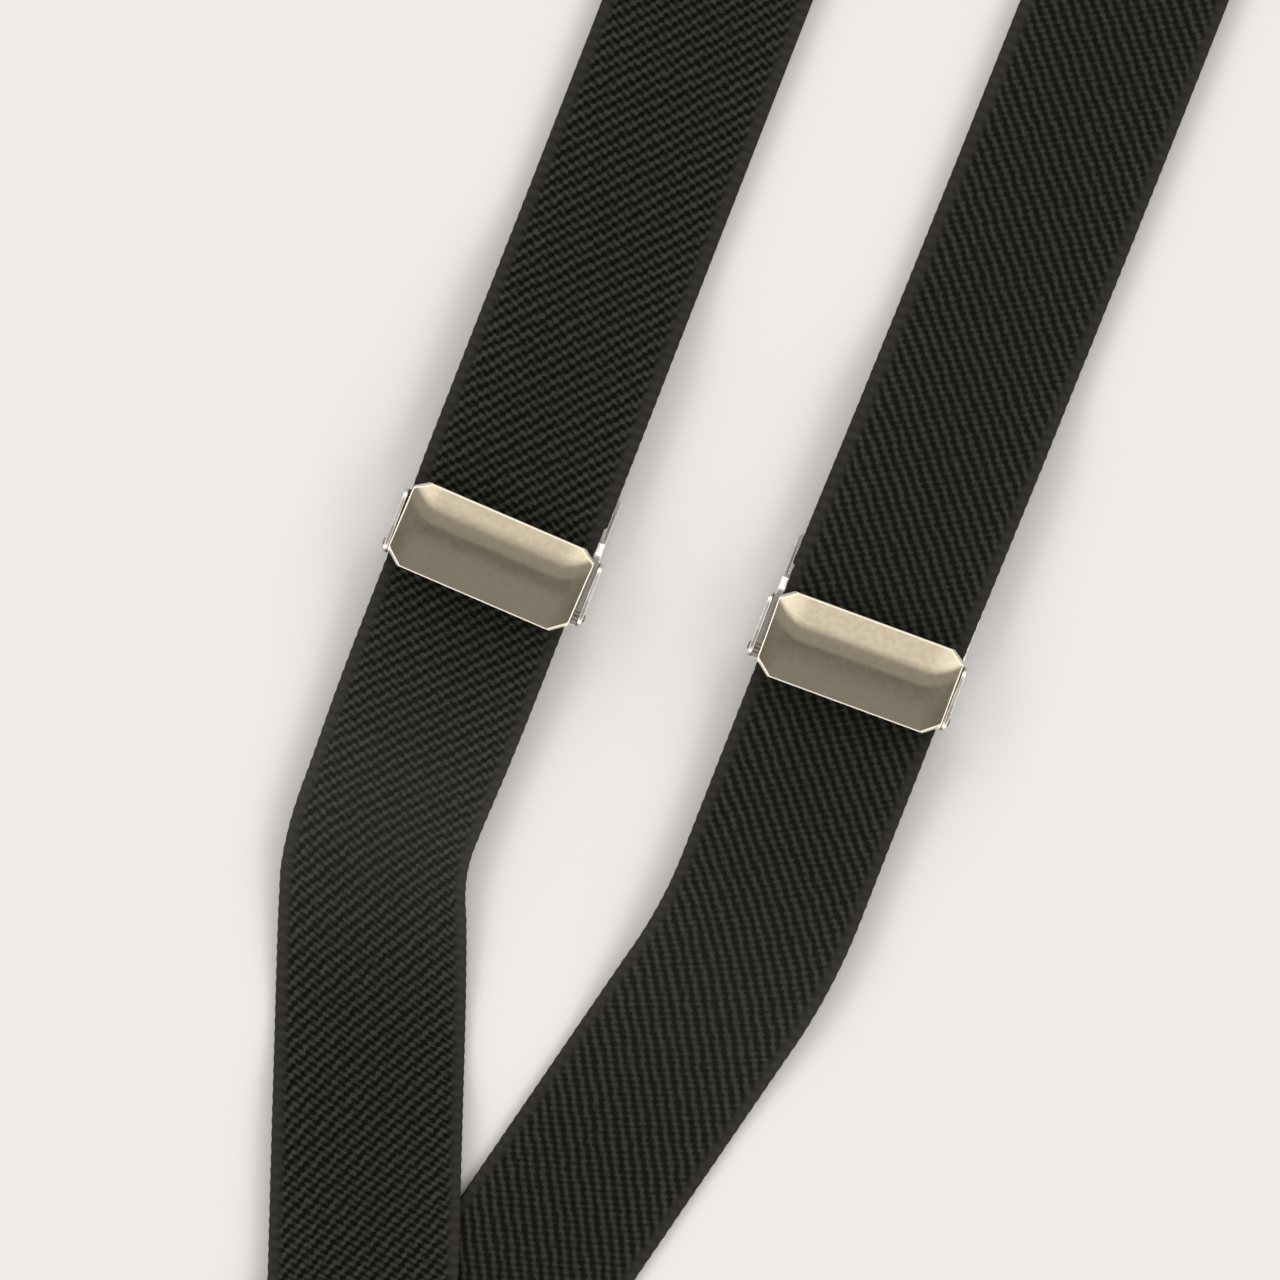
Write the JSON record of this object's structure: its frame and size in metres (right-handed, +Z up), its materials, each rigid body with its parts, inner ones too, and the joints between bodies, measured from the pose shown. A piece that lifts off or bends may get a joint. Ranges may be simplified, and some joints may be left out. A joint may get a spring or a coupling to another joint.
{
  "type": "suspenders",
  "caption": "Y-back elastic suspenders laid flat: two front straps with lever adjusters meet in a leather patch, and every strap ends in a hinged clip.",
  "frame": {"origin": "middle of the patch's underside, on the surface that the object lies on, where the middle lines of the front straps cross", "axes": "+Y from the patch towards the front clips, along the parallel straps; +Z up, away from the surface; +X to the right strap"},
  "size_m": [0.0795, 0.7993, 0.0095],
  "materials": {
    "webbing": "ribbed elastic twill",
    "leather": "smooth grained",
    "thread": "twisted",
    "adjuster_metal": "satin nickel plate",
    "ring_wire": "bright nickel plate",
    "clip_metal": "satin nickel plate",
    "nylon": "moulded"
  },
  "bodies": {
    "yoke": {"patch_inner": "leather", "patch_outer": "leather", "patch_stitching": "thread", "back_strap": "webbing", "back_strap_loop": "webbing", "back_strap_seam": "thread", "left_strap": "webbing", "right_strap": "webbing"},
    "left_adjuster": {"left_adjuster_frame": "adjuster_metal", "left_adjuster_pin": "adjuster_metal", "left_strap_gripped": "webbing", "left_strap_end": "webbing", "left_strap_end_seam": "thread"},
    "left_cover": {"left_adjuster_lever": "adjuster_metal"},
    "left_turn": {"left_strap_front": "webbing", "left_strap_turn": "webbing", "left_strap_return": "webbing"},
    "left_ring_link": {"left_ring": "ring_wire"},
    "left_clip": {"left_clip_base": "clip_metal", "left_clip_pad": "nylon", "left_clip_pin": "clip_metal"},
    "left_clip_jaw": {"left_clip_lever": "clip_metal", "left_clip_grip": "nylon"},
    "right_adjuster": {"right_adjuster_frame": "adjuster_metal", "right_adjuster_pin": "adjuster_metal", "right_strap_gripped": "webbing", "right_strap_end": "webbing", "right_strap_end_seam": "thread"},
    "right_cover": {"right_adjuster_lever": "adjuster_metal"},
    "right_turn": {"right_strap_front": "webbing", "right_strap_turn": "webbing", "right_strap_return": "webbing"},
    "right_ring_link": {"right_ring": "ring_wire"},
    "right_clip": {"right_clip_base": "clip_metal", "right_clip_pad": "nylon", "right_clip_pin": "clip_metal"},
    "right_clip_jaw": {"right_clip_lever": "clip_metal", "right_clip_grip": "nylon"},
    "back_ring_link": {"back_ring": "ring_wire"},
    "back_clip": {"back_clip_base": "clip_metal", "back_clip_pad": "nylon", "back_clip_pin": "clip_metal"},
    "back_clip_jaw": {"back_clip_lever": "clip_metal", "back_clip_grip": "nylon"}
  },
  "joints": [
    {"name": "left_adjuster_slide", "type": "slide", "parent": "yoke", "child": "left_adjuster", "axis": [0, 1, 0], "range_m": [0, 0.4]},
    {"name": "left_adjuster_lever_hinge", "type": "hinge", "parent": "left_adjuster", "child": "left_cover", "pos_m": [-0.0286, 0.119, 0.0075], "axis": [1, 0, 0], "range_deg": [0, 100]},
    {"name": "left_take_up", "type": "slide", "parent": "left_adjuster", "child": "left_turn", "axis": [0, 1, 0], "range_m": [-0.2, 0], "deforming": ["left_strap_front", "left_strap_return"]},
    {"name": "left_ring_hinge", "type": "hinge", "parent": "left_turn", "child": "left_ring_link", "pos_m": [-0.0291, 0.52, 0.0023], "axis": [1, 0, 0], "range_deg": [-60, 60]},
    {"name": "left_clip_hinge", "type": "hinge", "parent": "left_ring_link", "child": "left_clip", "pos_m": [-0.0291, 0.527, 0.0023], "axis": [1, 0, 0], "range_deg": [-60, 60]},
    {"name": "left_clip_lever_hinge", "type": "hinge", "parent": "left_clip", "child": "left_clip_jaw", "pos_m": [-0.0291, 0.56, 0.0075], "axis": [-1, 0, 0], "range_deg": [0, 100]},
    {"name": "right_adjuster_slide", "type": "slide", "parent": "yoke", "child": "right_adjuster", "axis": [0, 1, 0], "range_m": [0, 0.4]},
    {"name": "right_adjuster_lever_hinge", "type": "hinge", "parent": "right_adjuster", "child": "right_cover", "pos_m": [0.02005, 0.1236, 0.0075], "axis": [1, 0, 0], "range_deg": [0, 100]},
    {"name": "right_take_up", "type": "slide", "parent": "right_adjuster", "child": "right_turn", "axis": [0, 1, 0], "range_m": [-0.2, 0], "deforming": ["right_strap_front", "right_strap_return"]},
    {"name": "right_ring_hinge", "type": "hinge", "parent": "right_turn", "child": "right_ring_link", "pos_m": [0.0204, 0.5223, 0.0023], "axis": [1, 0, 0], "range_deg": [-60, 60]},
    {"name": "right_clip_hinge", "type": "hinge", "parent": "right_ring_link", "child": "right_clip", "pos_m": [0.0204, 0.5293, 0.0023], "axis": [1, 0, 0], "range_deg": [-60, 60]},
    {"name": "right_clip_lever_hinge", "type": "hinge", "parent": "right_clip", "child": "right_clip_jaw", "pos_m": [0.0204, 0.5623, 0.0075], "axis": [-1, 0, 0], "range_deg": [0, 100]},
    {"name": "back_ring_hinge", "type": "hinge", "parent": "yoke", "child": "back_ring_link", "pos_m": [0, -0.185, 0.0023], "axis": [-1, 0, 0], "range_deg": [-60, 60]},
    {"name": "back_clip_hinge", "type": "hinge", "parent": "back_ring_link", "child": "back_clip", "pos_m": [0, -0.192, 0.0023], "axis": [-1, 0, 0], "range_deg": [-60, 60]},
    {"name": "back_clip_lever_hinge", "type": "hinge", "parent": "back_clip", "child": "back_clip_jaw", "pos_m": [0, -0.225, 0.0075], "axis": [1, 0, 0], "range_deg": [0, 100]}
  ],
  "couplings": [
    {"joint": "left_take_up", "follows": "left_adjuster_slide", "ratio": -0.5},
    {"joint": "right_take_up", "follows": "right_adjuster_slide", "ratio": -0.5}
  ]
}
